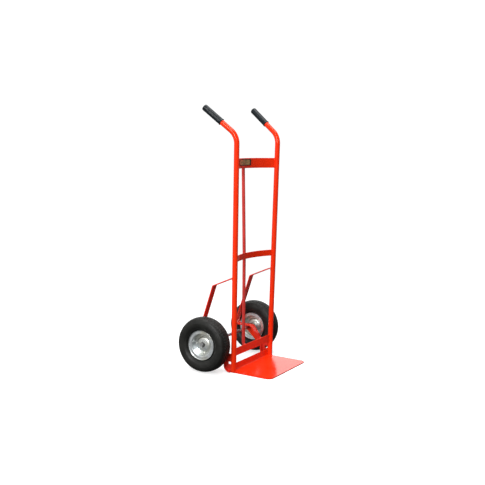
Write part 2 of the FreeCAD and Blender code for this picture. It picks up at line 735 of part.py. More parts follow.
# --------------------------------------------------------- axle and fittings
def make_axle():
    """Fixed round bar with chamfered ends and a cross hole at each end."""
    body = new_body("axle")
    circle = new_sketch(body, "section", "YZ_Plane")
    add_circle(circle, "axle_radius")
    bar = pad(body, circle, "2 * axle_half_length", symmetric=True)
    doc.recompute()
    chamfer = body.newObject("PartDesign::Chamfer", "axle_ends")
    rims = [
        f"Edge{i}" for i, edge in enumerate(bar.Shape.Edges, start=1)
        if isinstance(edge.Curve, Part.Circle)
    ]
    chamfer.Base = (bar, rims)
    bind(chamfer, "Size", "axle_chamfer")
    for name, side in SIDES:
        drill(body, f"{name}_hole", "cotter_hole_radius", "4 * axle_radius",
              shifted(f"{side} * cotter_offset", "0", "-2 * axle_radius"))
    place_body(body, shifted("0", "axle_reach", "axle_height"))


def axle_side_placement(side, along):
    """A placement on the axle whose X points outboard on that side."""
    turn = 180 if side < 0 else 0
    return (f"placement(vector({side} * ({along}); axle_reach; axle_height); "
            f"rotation(vector(0; 0; 1); {turn}))")


def make_ring(label, side, start, length, outer):
    """Plain ring on the axle, such as a spacer or a washer."""
    body = new_body(label)
    section = new_sketch(body, "section", "YZ_Plane")
    add_circle(section, outer)
    add_circle(section, "axle_radius + running_gap")
    pad(body, section, length)
    place_body(body, axle_side_placement(side, start))


def make_cotter(label, side):
    """Pin of round wire: a shank through the axle, and an eye on top."""
    body = new_body(label)
    section = new_sketch(body, "section", "XY_Plane")
    add_circle(section, "cotter_radius")
    shank = size("cotter_length")
    eye = size("cotter_eye_radius")
    diagonal = eye * math.sqrt(0.5)
    loop = [(0, shank), (-eye - diagonal, shank + diagonal), (-eye, shank - eye)]
    spine = new_sketch(body, "path", "YZ_Plane")
    add_outline(spine, [[(0, 0), (0, shank)], loop])
    sweep(body, section, spine)
    eye_middle = "axle_height + axle_radius + cotter_lift + cotter_radius + cotter_eye_radius"
    place_body(body, shifted(f"{side} * cotter_offset", "axle_reach", f"{eye_middle} - cotter_length"))


# ------------------------------------------------------------------- wheels
def wheel_placement(side):
    return axle_side_placement(side, "wheel_offset")


def tyre_half_outline(side):
    """Bead, side wall and shoulder of one half of the tyre's section."""
    crown = size("tyre_radius")
    wide = size("tyre_half_width")
    widest = size("tyre_wide_radius")
    half_sheet = size("rim_thickness") / 2
    seat = size("rim_seat_radius") + half_sheet + size("rim_fit_gap")
    bead = size("rim_flange_reach") - half_sheet - size("rim_fit_gap")
    lip = size("rim_lip_radius") + half_sheet + size("rim_lip_gap")
    toe = bead - size("tyre_bead_width")
    wall = size("tyre_wall")
    step = size("tyre_cavity_step")
    heel = size("tyre_bead_heel")
    low = wide - size("tyre_low_inset")
    high = wide - size("tyre_high_inset")
    mid_wall = (lip + widest) / 2
    shoulder = (wide - size("tyre_shoulder_inset"), crown - size("tyre_shoulder_drop"))
    inside = (shoulder[0] + step - wall, shoulder[1] - size("tyre_shoulder_wall"))
    inner_widest = (wide - wall, widest - step)
    points = [
        [(toe, seat), (bead - heel, seat)],
        [(bead - heel, seat), (bead, seat + heel)],
        [(bead, seat + heel), (bead, lip)],
        [(bead, lip), (low, mid_wall - size("tyre_low_drop")), (wide, widest)],
        [(wide, widest), (high, widest + size("tyre_high_rise")), shoulder],
        [(toe, seat), (toe + step, lip)],
        [(toe + step, lip), (low - wall, mid_wall - step), inner_widest],
        [inner_widest, (high - wall, widest + size("tyre_cavity_rise")), inside],
    ]
    return [[(side * x, y) for x, y in piece] for piece in points], shoulder, inside


def make_tyre(label, side):
    """Tyre with open beads, a hollow inside and grooves round the tread."""
    body = new_body(label)
    section = new_sketch(body, "section", "XY_Plane")
    crown = size("tyre_radius")
    right, shoulder, inside = tyre_half_outline(1)
    left, _, _ = tyre_half_outline(-1)
    under = crown - size("tyre_crown_wall")
    add_outline(section, right + left + [
        [(-shoulder[0], shoulder[1]), (0, crown), shoulder],
        [(-inside[0], inside[1]), (0, under), inside],
    ])
    revolve(body, section)
    grooves = new_sketch(body, "grooves", "XY_Plane")
    slope = size("tyre_shoulder_drop") / shoulder[0] ** 2
    for name in ("tread_inner_groove", "tread_outer_groove"):
        drop = slope * size(name) ** 2
        low = f"tyre_radius - {drop} - tread_groove_depth"
        high = "tyre_radius + tread_groove_depth"
        for sign in ("", "-"):
            middle = f"{sign}{name}"
            add_rectangle(grooves, (f"{middle} - tread_groove_width / 2", low),
                          (f"{middle} + tread_groove_width / 2", high))
    doc.recompute()
    before = body.Shape.Volume
    revolve(body, grooves, cut=True)
    require_cut(body, before, "tread grooves")
    place_body(body, wheel_placement(side))


def make_inner_tube(label, side):
    """Hollow ring inside the tyre."""
    body = new_body(label)
    section = new_sketch(body, "section", "XY_Plane")
    add_circle(section, "tube_minor_radius", ("0.0", "tube_major_radius"))
    add_circle(section, "tube_minor_radius - tube_wall", ("0.0", "tube_major_radius"))
    revolve(body, section)
    place_body(body, wheel_placement(side))


def valve_frame():
    """Placement of the valve in the wheel: Z runs out of the tyre's hollow."""
    turn = "rotation(vector(1; 0; 0); valve_angle)"
    lean = "rotation(vector(0; 1; 0); 180 - valve_lean)"
    root = "vector(valve_root_offset; 0; rim_seat_radius + valve_root_rise)"
    return f"placement(vector(0; 0; 0); {turn}) * placement({root}; {lean})"


def make_rim_half(label, side, outboard):
    """Pressed half of the rim: flange, bead seat, flat web and hub dome."""
    body = new_body(label)
    flange = size("rim_flange_reach")
    lip = size("rim_lip_radius")
    curl = size("rim_lip_curl")
    seat = size("rim_seat_radius")
    thickness = size("rim_thickness")
    web = thickness / 2 + size("rim_half_gap")
    dome = size("rim_dome_reach")
    path = [
        (flange + curl, lip),
        (flange, lip - curl),
        (flange, seat),
        (web, seat),
        (web, size("rim_web_radius")),
        (dome - size("rim_shoulder_drop"), size("rim_shoulder_radius")),
        (dome, size("rim_dome_hole")),
    ]
    if not outboard:
        path[-1] = (dome - size("rim_inboard_drop"), size("hub_radius") + size("rim_fit_gap"))
        path = [(-x, y) for x, y in path]
    bends = [size(f"rim_{name}_bend") for name in ("curl", "seat", "corner", "web", "dome")]
    section = new_sketch(body, "section", "XY_Plane")
    add_strip(section, path, bends, thickness)
    revolve(body, section)
    holes = new_sketch(body, "bolt_hole", "YZ_Plane")
    add_circle(holes, "rim_bolt_radius + weld_gap", ("rim_bolt_circle", "0.0"))
    doc.recompute()
    before = body.Shape.Volume
    cut = pocket_through(body, holes)
    around(body, [cut], "X_Axis", "rim_bolt_count")
    require_cut(body, before, "bolt holes")
    if outboard:
        drill(body, "valve_hole", "valve_radius + weld_gap", "valve_length", valve_frame())
    place_body(body, wheel_placement(side))


def add_hexagon(sketch, across, centre_x):
    corner = across / 2 / math.cos(math.pi / 6)
    points = [
        (centre_x + corner * math.cos(math.pi / 3 * k), corner * math.sin(math.pi / 3 * k))
        for k in range(6)
    ]
    add_outline(sketch, [[points[k], points[(k + 1) % 6]] for k in range(6)])


def raised(sketch, height):
    """Lifts a sketch off its plane along the wheel's axis."""
    sketch.AttachmentOffset = FreeCAD.Placement(Vec(0, 0, height), FreeCAD.Rotation())


def bolting_face():
    """Where bolt heads and nuts bear, from the wheel's middle plane."""
    return size("rim_thickness") + size("rim_half_gap") + size("weld_gap")


def make_rim_bolts(label, side):
    """Ring of hexagon bolts through both rim pressings."""
    body = new_body(label)
    head = new_sketch(body, "head", "YZ_Plane")
    raised(head, bolting_face())
    add_hexagon(head, size("hex_across_flats"), size("rim_bolt_circle"))
    head_pad = pad(body, head, "bolt_head_height")
    shank = new_sketch(body, "shank", "YZ_Plane")
    raised(shank, bolting_face())
    add_circle(shank, "rim_bolt_radius", ("rim_bolt_circle", "0.0"))
    reach = f"{2 * bolting_face()} + nut_height + bolt_tail"
    shank_pad = pad(body, shank, reach, reverse=True)
    around(body, [head_pad, shank_pad], "X_Axis", "rim_bolt_count")
    place_body(body, wheel_placement(side))


def make_rim_nuts(label, side):
    """Ring of hexagon nuts on the rim bolts."""
    body = new_body(label)
    face = new_sketch(body, "face", "YZ_Plane")
    raised(face, -bolting_face())
    add_hexagon(face, size("hex_across_flats"), size("rim_bolt_circle"))
    add_circle(face, "rim_bolt_radius + running_gap", ("rim_bolt_circle", "0.0"))
    nut = pad(body, face, "nut_height", reverse=True)
    around(body, [nut], "X_Axis", "rim_bolt_count")
    place_body(body, wheel_placement(side))


def make_hub(label, side):
    """Hub tube with a counterbore at each end for a bearing."""
    body = new_body(label)
    section = new_sketch(body, "section", "XY_Plane")
    outer = size("hub_radius")
    bore = size("hub_bore_radius")
    seat = size("bearing_radius") + size("running_gap")
    right = size("hub_outboard")
    left = -size("hub_inboard")
    deep = size("bearing_width") + size("weld_gap")
    add_polygon(section, [
        (left, outer),
        (right, outer),
        (right, seat),
        (right - deep, seat),
        (right - deep, bore),
        (left + deep, bore),
        (left + deep, seat),
        (left, seat),
    ])
    revolve(body, section)
    place_body(body, wheel_placement(side))


def bearing_middles():
    """Middles of both bearings along the axle, from the wheel's middle plane."""
    half = size("bearing_width") / 2
    return (size("hub_outboard") - half, -size("hub_inboard") + half)


def make_races(label, side):
    """Inner and outer races of both bearings, four separate rings."""
    body = new_body(label)
    rings = new_sketch(body, "rings", "XY_Plane")
    for middle in bearing_middles():
        for low, high in (
            ("axle_radius + running_gap", "bearing_pitch_radius - race_land"),
            ("bearing_pitch_radius + race_land", "bearing_radius"),
        ):
            add_rectangle(rings, (f"{middle} - bearing_width / 2", low),
                          (f"{middle} + bearing_width / 2", high))
    revolve(body, rings)
    tracks = new_sketch(body, "tracks", "XY_Plane")
    for middle in bearing_middles():
        add_circle(tracks, "ball_radius + running_gap", (f"{middle}", "bearing_pitch_radius"))
    doc.recompute()
    before = body.Shape.Volume
    revolve(body, tracks, cut=True)
    require_cut(body, before, "ball tracks")
    place_body(body, wheel_placement(side))


def make_balls(label, side):
    """Two rings of balls, one for each bearing."""
    body = new_body(label)
    balls = []
    for number, middle in enumerate(bearing_middles()):
        ball = body.newObject("PartDesign::AdditiveSphere", f"{label}_{number}")
        bind(ball, "Radius", "ball_radius")
        bind(ball, "Placement", shifted(middle, "0", "bearing_pitch_radius"))
        balls.append(ball)
    around(body, balls, "X_Axis", "ball_count")
    place_body(body, wheel_placement(side))


def make_valve(stem_label, cap_label, side):
    """Rubber valve stem through the bead seat, and its screwed cap."""
    stem = new_body(stem_label)
    circle = new_sketch(stem, "section", "XY_Plane")
    add_circle(circle, "valve_radius")
    pad(stem, circle, "valve_length")
    place_body(stem, f"{wheel_placement(side)} * {valve_frame()}")
    cap = new_body(cap_label)
    circle = new_sketch(cap, "section", "XY_Plane")
    add_circle(circle, "valve_cap_radius")
    pad(cap, circle, "valve_cap_length")
    lift = shifted("0", "0", "valve_length + weld_gap")
    place_body(cap, f"{wheel_placement(side)} * {valve_frame()} * {lift}")


def make_wheel(name, side):
    """Every piece of one wheel."""
    make_tyre(f"{name}_tyre", side)
    make_inner_tube(f"{name}_inner_tube", side)
    make_rim_half(f"{name}_outer_rim", side, outboard=True)
    make_rim_half(f"{name}_inner_rim", side, outboard=False)
    make_rim_bolts(f"{name}_rim_bolts", side)
    make_rim_nuts(f"{name}_rim_nuts", side)
    make_hub(f"{name}_hub", side)
    make_races(f"{name}_bearing_races", side)
    make_balls(f"{name}_bearing_balls", side)
    make_valve(f"{name}_valve_stem", f"{name}_valve_cap", side)


# ----------------------------------------------------------------- assembly
SPACER_START = "bracket_offset + bracket_thickness + weld_gap"
SPACER_LENGTH = f"wheel_offset - hub_inboard - side_gap - ({SPACER_START})"
WASHER_START = "wheel_offset + rim_dome_reach + rim_thickness / 2 + side_gap"

for name, side in SIDES:
    make_rail(f"{name}_rail", side)
    make_grip(f"{name}_grip", side)
    make_strap(f"{name}_guard_strap", side)
    make_gusset(f"{name}_gusset", side)
    make_bracket(f"{name}_axle_bracket", side)
    make_ring(f"{name}_axle_spacer", side, SPACER_START, SPACER_LENGTH, "spacer_radius")
    make_ring(f"{name}_axle_washer", side, WASHER_START, "washer_thickness", "washer_radius")
    make_cotter(f"{name}_cotter_pin", side)
    make_wheel(name, side)
upper_radius = make_bowed_bar("upper_crossbar", "upper_bar_height", "upper_bar_width", "upper_bar_bow")
make_bowed_bar("middle_crossbar", "middle_bar_height", "middle_bar_width", "middle_bar_bow")
make_lower_bar()
make_centre_bar()
make_nameplate(upper_radius)
make_toe_plate()
make_axle()
doc.recompute()

# ----------------------------------------------------------- checks, export
for thing in doc.Objects:
    if "Invalid" in thing.State or "Error" in thing.State:
        raise RuntimeError(f"{thing.Name} failed: {thing.State}")
os.makedirs("parts", exist_ok=True)
for body in SUBPARTS:
    if body.Shape.isNull() or not body.Shape.isValid():
        raise RuntimeError(f"{body.Label} has no valid shape")
    print(f"{body.Label:24s} solids {len(body.Shape.Solids):2d}  volume {body.Shape.Volume:12.1f}")
    body.Shape.exportStep(f"parts/{body.Label}.step")
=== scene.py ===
import json
import math
import random

import bpy
from mathutils import Matrix, Quaternion, Vector


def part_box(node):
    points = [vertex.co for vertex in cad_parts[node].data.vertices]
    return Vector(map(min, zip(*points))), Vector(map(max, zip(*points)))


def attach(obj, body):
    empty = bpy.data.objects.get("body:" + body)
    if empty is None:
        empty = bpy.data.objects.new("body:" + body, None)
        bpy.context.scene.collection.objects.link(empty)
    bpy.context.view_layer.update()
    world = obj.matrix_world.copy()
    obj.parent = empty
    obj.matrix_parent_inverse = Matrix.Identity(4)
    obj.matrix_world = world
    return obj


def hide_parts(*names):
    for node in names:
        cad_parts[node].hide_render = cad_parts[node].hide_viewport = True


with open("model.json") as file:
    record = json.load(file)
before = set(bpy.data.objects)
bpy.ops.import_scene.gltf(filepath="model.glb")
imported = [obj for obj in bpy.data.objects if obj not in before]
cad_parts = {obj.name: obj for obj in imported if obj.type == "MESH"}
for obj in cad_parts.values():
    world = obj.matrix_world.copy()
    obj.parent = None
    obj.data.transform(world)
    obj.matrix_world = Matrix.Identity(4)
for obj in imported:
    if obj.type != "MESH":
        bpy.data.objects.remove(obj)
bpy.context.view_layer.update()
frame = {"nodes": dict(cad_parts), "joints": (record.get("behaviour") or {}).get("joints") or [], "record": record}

# Hand truck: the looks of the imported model, in the frame of the CAD part: X across
# the truck, Y back towards the handles, Z up. Lengths are in metres, apart from
# those marked as mm.

NODES = frame["nodes"]
SIDES = (("left", -1), ("right", 1))
MM = 0.001


# ---------------------------------------------------------------- materials
def map_range(tree, value, low, high, out_low, out_high):
    """A value stretched from low..high to out_low..out_high."""
    node = tree.nodes.new("ShaderNodeMapRange")
    sockets = ("From Min", "From Max", "To Min", "To Max")
    for socket, limit in zip(sockets, (low, high, out_low, out_high)):
        node.inputs[socket].default_value = limit
    tree.links.new(value, node.inputs["Value"])
    return node.outputs["Result"]


class Look:
    """A node material under construction: its tree and its main shader."""

    def __init__(self, name):
        self.material = bpy.data.materials.new(name)
        self.material.use_nodes = True
        self.tree = self.material.node_tree
        self.tree.nodes.clear()
        self.output = self.add("ShaderNodeOutputMaterial")
        self.shader = self.add("ShaderNodeBsdfPrincipled")
        self.link(self.shader.outputs["BSDF"], self.output.inputs["Surface"])
        self.where = self.add("ShaderNodeTexCoord").outputs["Object"]

    def add(self, kind, **values):
        node = self.tree.nodes.new(kind)
        for name, value in values.items():
            setattr(node, name, value)
        return node

    def link(self, a, b):
        self.tree.links.new(a, b)

    def set(self, **values):
        for name, value in values.items():
            self.shader.inputs[name.replace("_", " ")].default_value = value

    def noise(self, scale, detail=3.0, rough=0.55, stretch=None):
        """Noise in the part's own frame; stretch scales its three axes."""
        node = self.add("ShaderNodeTexNoise")
        node.inputs["Scale"].default_value = scale
        node.inputs["Detail"].default_value = detail
        node.inputs["Roughness"].default_value = rough
        source = self.where
        if stretch:
            mapping = self.add("ShaderNodeMapping")
            mapping.inputs["Scale"].default_value = stretch
            self.link(source, mapping.inputs["Vector"])
            source = mapping.outputs["Vector"]
        self.link(source, node.inputs["Vector"])
        return node.outputs["Fac"]

    def spread(self, value, low, high, out_low=0.0, out_high=1.0):
        return map_range(self.tree, value, low, high, out_low, out_high)

    def mix(self, factor, a, b):
        """Two colours, or colour outputs, mixed by a factor output."""
        node = self.add("ShaderNodeMix", data_type="RGBA")
        self.link(factor, node.inputs["Factor"])
        for socket, value in ((node.inputs[6], a), (node.inputs[7], b)):
            if isinstance(value, tuple):
                socket.default_value = (*value, 1.0)
            else:
                self.link(value, socket)
        return node.outputs[2]

    def colour(self, value):
        self.link(value, self.shader.inputs["Base Color"])

    def roughness(self, value):
        self.link(value, self.shader.inputs["Roughness"])

    def bump(self, height, strength, distance):
        node = self.add("ShaderNodeBump")
        node.inputs["Strength"].default_value = strength
        node.inputs["Distance"].default_value = distance
        self.link(height, node.inputs["Height"])
        self.link(node.outputs["Normal"], self.shader.inputs["Normal"])


def red_paint(name, dark, light):
    """Thick glossy enamel with a faint orange peel."""
    look = Look(name)
    tone = look.spread(look.noise(9.0, 4.0), 0.35, 0.65)
    look.colour(look.mix(tone, dark, light))
    look.roughness(look.spread(look.noise(30.0, 3.0), 0.3, 0.7, 0.14, 0.18))
    look.bump(look.noise(110.0, 1.0), 0.012, 0.0002)
    look.set(IOR=1.42, Specular_Tint=(1.0, 0.50, 0.42, 1.0))
    return look.material


def grip_rubber():
    """Dark grey moulded rubber with a fine grain."""
    look = Look("grip_rubber")
    tone = look.spread(look.noise(40.0, 3.0), 0.3, 0.7)
    look.colour(look.mix(tone, (0.006, 0.009, 0.011), (0.009, 0.013, 0.016)))
    look.roughness(look.spread(look.noise(40.0, 3.0), 0.3, 0.7, 0.20, 0.26))
    look.bump(look.noise(900.0, 2.0), 0.01, 0.0001)
    look.set(IOR=1.28)
    return look.material


def tyre_rubber():
    """Black tyre rubber, a little dusty, with a moulded grain."""
    look = Look("tyre_rubber")
    dust = look.spread(look.noise(22.0, 6.0, 0.6), 0.42, 0.75)
    look.colour(look.mix(dust, (0.006, 0.006, 0.005), (0.016, 0.016, 0.014)))
    look.roughness(look.spread(look.noise(70.0, 3.0), 0.3, 0.7, 0.42, 0.58))
    look.bump(look.noise(900.0, 3.0), 0.3, 0.0004)
    look.set(IOR=1.36)
    return look.material


def tube_rubber():
    """Plain dark rubber of the inner tube and the valve stem."""
    look = Look("tube_rubber")
    tone = look.spread(look.noise(60.0, 3.0), 0.3, 0.7)
    look.colour(look.mix(tone, (0.018, 0.018, 0.018), (0.03, 0.03, 0.03)))
    look.roughness(look.spread(look.noise(90.0), 0.3, 0.7, 0.5, 0.65))
    look.bump(look.noise(1200.0, 2.0), 0.2, 0.0003)
    return look.material


def rim_zinc():
    """Bright zinc plate on pressed steel: spangles, soft waves, warm stain."""
    look = Look("rim_zinc")
    cells = look.add("ShaderNodeTexVoronoi", feature="F1")
    cells.inputs["Scale"].default_value = 150.0
    look.link(look.where, cells.inputs["Vector"])
    grey = look.add("ShaderNodeSeparateColor")
    look.link(cells.outputs["Color"], grey.inputs["Color"])
    spangle = look.spread(grey.outputs["Red"], 0.0, 1.0)
    stain = look.spread(look.noise(14.0, 4.0), 0.45, 0.7)
    plate = look.mix(spangle, (0.60, 0.64, 0.65), (0.78, 0.81, 0.82))
    warm = look.mix(spangle, (0.54, 0.51, 0.41), (0.68, 0.65, 0.53))
    look.colour(look.mix(stain, plate, warm))
    look.roughness(look.spread(look.noise(45.0, 4.0), 0.3, 0.7, 0.32, 0.48))
    look.bump(look.noise(60.0, 4.0), 0.5, 0.0010)
    look.set(Metallic=1.0)
    return look.material


def turned_steel(name, dark, light, rough):
    """Bare or plated steel with fine drawn lines."""
    look = Look(name)
    lines = look.noise(420.0, 3.0, stretch=(0.05, 1.0, 1.0))
    look.colour(look.mix(look.spread(lines, 0.3, 0.7), dark, light))
    look.roughness(look.spread(lines, 0.3, 0.7, rough, rough + 0.12))
    look.bump(lines, 0.12, 0.0002)
    look.set(Metallic=1.0)
    return look.material


def black_plastic():
    """Moulded plastic of the valve cap."""
    look = Look("black_plastic")
    tone = look.spread(look.noise(80.0, 3.0), 0.3, 0.7)
    look.colour(look.mix(tone, (0.012, 0.012, 0.012), (0.022, 0.022, 0.022)))
    look.roughness(look.spread(look.noise(160.0), 0.3, 0.7, 0.35, 0.5))
    look.bump(look.noise(1400.0, 2.0), 0.15, 0.0002)
    return look.material


def plate_gold():
    """Satin gold field of the nameplate, brushed sideways."""
    look = Look("plate_gold")
    lines = look.noise(500.0, 3.0, stretch=(0.04, 1.0, 1.0))
    tone = look.spread(lines, 0.3, 0.7)
    look.colour(look.mix(tone, (0.50, 0.34, 0.14), (0.66, 0.48, 0.22)))
    look.roughness(look.spread(lines, 0.3, 0.7, 0.32, 0.46))
    look.bump(lines, 0.1, 0.0002)
    look.set(Metallic=0.6)
    return look.material


def plate_dark():
    """Dark brown enamel of the nameplate's border and bars."""
    look = Look("plate_dark")
    tone = look.spread(look.noise(90.0, 3.0), 0.3, 0.7)
    look.colour(look.mix(tone, (0.030, 0.016, 0.010), (0.055, 0.030, 0.018)))
    look.roughness(look.spread(look.noise(200.0), 0.3, 0.7, 0.3, 0.42))
    look.bump(look.noise(900.0, 2.0), 0.1, 0.0002)
    return look.material


def studio_floor():
    """Matt grey floor that glows up to white, like a light table."""
    look = Look("studio_floor")
    tone = look.spread(look.noise(0.8, 3.0), 0.3, 0.7)
    look.colour(look.mix(tone, (0.55, 0.55, 0.55), (0.58, 0.58, 0.58)))
    look.set(Roughness=0.9, Specular_IOR_Level=0.0)
    look.set(Emission_Color=(1, 1, 1, 1), Emission_Strength=0.6)
    return look.material


LOOKS = {
    "red_paint": red_paint("red_paint", (0.82, 0.026, 0.003), (0.88, 0.036, 0.006)),
    # darker, pinker copy of the red paint for the centre bar: painted shade
    "shaded_red_paint": red_paint("shaded_red_paint", (0.60, 0.048, 0.040), (0.68, 0.064, 0.056)),
    # darker copy of the red paint for the straps and gussets: painted shade
    "shaded_strap_red_paint": red_paint("shaded_strap_red_paint", (0.74, 0.030, 0.016), (0.80, 0.044, 0.028)),
    "grip_rubber": grip_rubber(),
    "tyre_rubber": tyre_rubber(),
    "tube_rubber": tube_rubber(),
    "rim_zinc": rim_zinc(),
    "zinc_steel": turned_steel("zinc_steel", (0.58, 0.58, 0.55), (0.74, 0.74, 0.72), 0.22),
    "bearing_steel": turned_steel("bearing_steel", (0.50, 0.50, 0.52), (0.66, 0.66, 0.68), 0.15),
    "axle_steel": turned_steel("axle_steel", (0.42, 0.42, 0.43), (0.60, 0.60, 0.61), 0.25),
    "black_plastic": black_plastic(),
    "brass_plate": plate_gold(),
}
PLATE_DARK = plate_dark()


# ------------------------------------------------------------- mesh helpers
def new_piece(name, vertices, faces, material, body, smooth=True):
    """A mesh object that rides on a body and takes its finish from a slot."""
    mesh = bpy.data.meshes.new(name)
    mesh.from_pydata(vertices, [], faces)
    mesh.validate()
    if smooth:
        mesh.shade_smooth()
    piece = bpy.data.objects.new(name, mesh)
    bpy.context.scene.collection.objects.link(piece)
    mesh.materials.append(material)
    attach(piece, body)
    return piece


def grid_faces(rows, columns, close_columns=True):
    """Quads over a grid of points stored row by row; the last row meets the first."""
    faces = []
    for i in range(rows):
        for j in range(columns if close_columns else columns - 1):
            a = i * columns + j
            b = i * columns + (j + 1) % columns
            c = ((i + 1) % rows) * columns + (j + 1) % columns
            d = ((i + 1) % rows) * columns + j
            faces.append((a, b, c, d))
    return faces


def smooth_edges(node, width):
    """Rounds a CAD node's sharp edges a little, so that they catch light."""
    piece = NODES[node]
    mesh = piece.data
    if "custom_normal" in mesh.attributes:
        mesh.attributes.remove(mesh.attributes["custom_normal"])
    if "sharp_edge" in mesh.attributes:
        mesh.attributes.remove(mesh.attributes["sharp_edge"])
    mesh.shade_smooth()
    weld = piece.modifiers.new("weld", "WELD")
    weld.merge_threshold = 0.00002
    bevel = piece.modifiers.new("bevel", "BEVEL")
    bevel.width = width
    bevel.segments = 2
    bevel.limit_method = "ANGLE"
    bevel.angle_limit = math.radians(28)
    bevel.harden_normals = False
    normals = piece.modifiers.new("normals", "WEIGHTED_NORMAL")
    normals.keep_sharp = True


# -------------------------------------------------------------------- tyres
TYRE_RADIUS = (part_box("left_tyre")[1][2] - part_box("left_tyre")[0][2]) / 2
TYRE_HALF_WIDTH = (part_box("left_tyre")[1][0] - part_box("left_tyre")[0][0]) / 2
AXLE = {joint["child"]: Vector(joint["pos_m"]) for joint in frame["joints"]}


def smooth_through(knots, steps):
    """A smooth curve (Catmull-Rom) through knots, with steps in each span."""
    points = []
    count = len(knots)
    for i in range(count - 1):
        around = [knots[max(0, i - 1)], knots[i], knots[i + 1], knots[min(count - 1, i + 2)]]
        for k in range(steps):
            t = k / steps
            weights = (-t + 2 * t * t - t ** 3, 2 - 5 * t * t + 3 * t ** 3,
                       t + 4 * t * t - 3 * t ** 3, t ** 3 - t * t)
            points.append(tuple(
                sum(w * p[axis] for w, p in zip(weights, around)) / 2 for axis in (0, 1)))
    points.append(knots[-1])
    return points


# Moulded rings on the side wall: radius, width and height of each, in mm.
SIDE_RINGS = ((80.0, 1.0, 0.7), (88.5, 0.8, 0.5), (104.0, 1.1, 0.5), (110.5, 0.9, 0.45), (115.5, 0.9, 0.5))
# Tread, in mm: each groove's place across, width and swing; the shoulder's blocks.
ZIGZAGS = 60
GROOVES = ((-19.5, 3.4, 1.5), (-6.6, 3.0, 1.5), (6.6, 3.0, 1.5), (19.5, 3.4, 1.5))
GROOVE_DEPTH = 3.6
SHOULDER_START = 25
SHOULDER_DEPTH = 2.8


def tyre_outline():
    """Half outline (across, radius) from the bead to the shoulder, in mm."""
    wide = TYRE_HALF_WIDTH / MM
    crown = TYRE_RADIUS / MM - 0.3
    bead = [(15.8, 53.2), (24.2, 53.3), (24.7, 55), (24.7, 62), (24.7, 70.2)]
    wall = [
        (24.7, 70.6), (27.5, 73.6), (32.5, 77.5), (37.0, 84), (40.0, 91), (wide - 0.9, 99),
        (wide - 1.3, 106), (wide - 3.2, 112.5), (wide - 5.9, 118.6), (wide - 9.0, 122.2),
    ]
    curve = []
    for x, r in smooth_through(wall, 7):
        rise = sum(h * math.exp(-((r - middle) / width) ** 2) for middle, width, h in SIDE_RINGS)
        curve.append((min(wide - 0.05, x + rise), r))
    return bead + curve, crown


def crown_radius(across, edge, edge_radius, crown):
    """Radius of the tread at a distance from its middle."""
    part = abs(across) / edge
    return crown - (crown - edge_radius) * part ** 2.2


def triangle_wave(turns):
    """Runs between -1 and 1 and back once a turn, in straight lines."""
    return 4 * abs(turns - math.floor(turns + 0.5)) - 1


def tread_depth(across, angle):
    """How deep the tread is cut, in mm, at a place on its surface."""
    zigzag = triangle_wave(angle / (2 * math.pi) * ZIGZAGS)
    depth = 0.0
    for middle, width, swing in GROOVES:
        away = abs(across - middle - swing * zigzag)
        depth = max(depth, GROOVE_DEPTH * min(1.0, max(0.0, (width / 2 + 0.5 - away) / 0.8)))
    if abs(across) > SHOULDER_START:
        notch = abs(triangle_wave(angle / (2 * math.pi) * ZIGZAGS + 0.25))
        side = min(1.0, (abs(across) - SHOULDER_START) / 2.5)
        depth = max(depth, SHOULDER_DEPTH * side * min(1.0, max(0.0, (0.22 - notch) / 0.1)))
    return depth


def make_tyre(side_name):
    """Tyre with zigzag grooves, shoulder blocks and moulded side rings."""
    knots, crown = tyre_outline()
    edge, edge_radius = knots[-1]
    across_steps = 76
    tread = [(-edge + 2 * edge * k / across_steps) for k in range(across_steps + 1)]
    around = 480
    rows = []
    for step in range(around):
        angle = 2 * math.pi * step / around
        ring = []
        for x, r in knots[:-1]:
            ring.append((-x, r))
        for x in tread:
            r = crown_radius(x, edge, edge_radius, crown)
            ring.append((x, r - tread_depth(x, angle)))
        for x, r in reversed(knots[:-1]):
            ring.append((x, r))
        inner = [(14.9, 62), (16.9, 71), (27, 79), (34.2, 97), (28, 112), (0, 119.5)]
        ring += inner + [(-x, r) for x, r in reversed(inner[:-1])]
        for x, r in ring:
            rows.append((x * MM, r * MM * math.cos(angle), r * MM * math.sin(angle)))
    columns = len(rows) // around
    middle = AXLE[f"{side_name}_wheel"]
    vertices = [(middle.x + x, middle.y + y, middle.z + z) for x, y, z in rows]
    piece = new_piece(f"{side_name}_tyre_tread", vertices, grid_faces(around, columns),
                      LOOKS["tyre_rubber"], f"{side_name}_wheel")
    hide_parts(f"{side_name}_tyre")


# -------------------------------------------------------------- round tubes
RAIL_RADIUS = 0.0125
RAIL_BEND = 0.075
RAIL_END = 0.202
RAIL_WALL = 0.002
# The centre bar's corners (back, up) and the radii of its two bends, in mm.
CENTRE_PATH = ((2.1, 86), (53, 86), (60.1, 527), (78.73, 988))
CENTRE_BENDS = (14, 300)
CENTRE_RADIUS = 0.008
HANDLE_ANGLE = math.radians(52.2)
HANDLE_SPLAY = math.radians(9.1)
RAIL_TAPER = math.radians(0.97)
RAIL_FOOT = Vector((0.1764, 0, 0.0053))
RAIL_CORNER = 1.095
GRIP_START = 0.094
GRIP_LENGTH = 0.111


def rail_matrix(side):
    """The rail's own frame: Z up the rail, Y the way the handle bends."""
    lean = Quaternion((0, 1, 0), side * RAIL_TAPER)
    splay = Quaternion((0, 0, 1), -side * HANDLE_SPLAY)
    foot = Matrix.Translation((side * RAIL_FOOT.x, RAIL_FOOT.y, RAIL_FOOT.z))
    return foot @ (lean @ splay).to_matrix().to_4x4()


